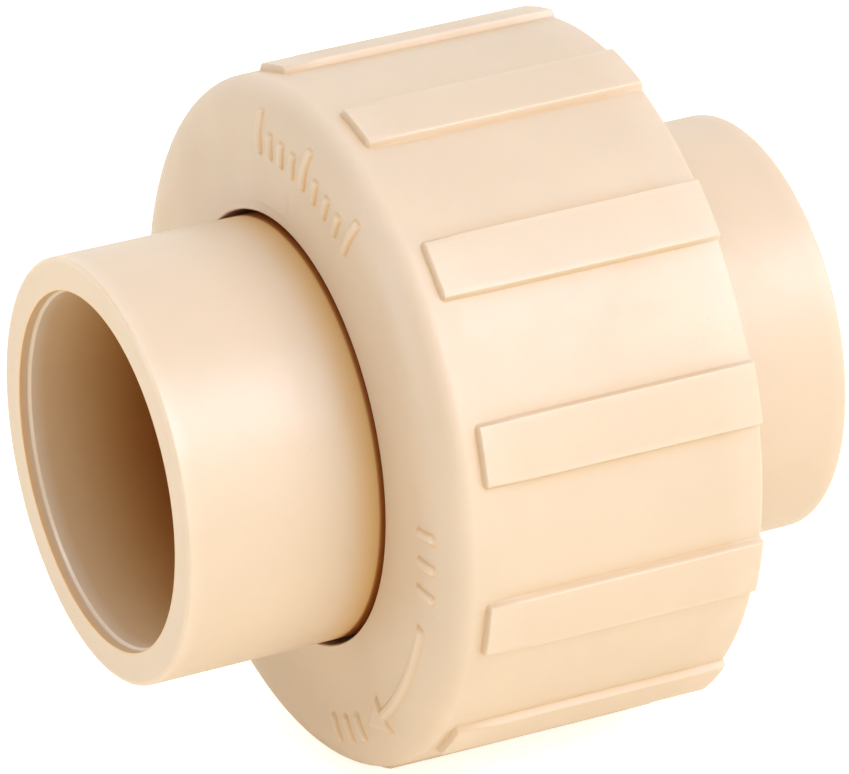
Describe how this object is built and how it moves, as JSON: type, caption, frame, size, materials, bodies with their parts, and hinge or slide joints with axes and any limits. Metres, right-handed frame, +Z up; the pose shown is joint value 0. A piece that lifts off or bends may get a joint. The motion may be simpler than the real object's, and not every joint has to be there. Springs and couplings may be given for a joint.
{
  "type": "pipe union",
  "caption": "Cream plastic pipe union: two pipe sockets drawn together face to face by a ribbed threaded nut, with an O-ring seal.",
  "frame": {"origin": "on the pipe axis, at the middle of the overall length with the union made up", "axes": "+X along the pipe axis from the tailpiece to the threaded end, +Z up with the nut resting on two ribs, +Y completes the right-handed frame"},
  "size_m": [0.0584, 0.0574, 0.0574],
  "materials": {
    "socket_plastic": "semi-gloss moulded cream CPVC",
    "nut_plastic": "semi-gloss moulded cream CPVC",
    "seal_rubber": "matte black EPDM"
  },
  "bodies": {
    "threaded_end": {"threaded_end": "socket_plastic", "o_ring": "seal_rubber"},
    "tailpiece": {"tailpiece": "socket_plastic"},
    "union_nut": {"union_nut": "nut_plastic"}
  },
  "joints": [
    {"name": "tailpiece_slide", "type": "slide", "parent": "threaded_end", "child": "tailpiece", "axis": [-1, 0, 0], "range_m": [0, 0.017]},
    {"name": "nut_turn", "type": "hinge", "parent": "tailpiece", "child": "union_nut", "pos_m": [0, 0, 0], "axis": [-1, 0, 0], "range_deg": [0, 1530]}
  ],
  "couplings": [
    {"joint": "tailpiece_slide", "follows": "nut_turn", "m_per_rad": 0.00063662}
  ]
}
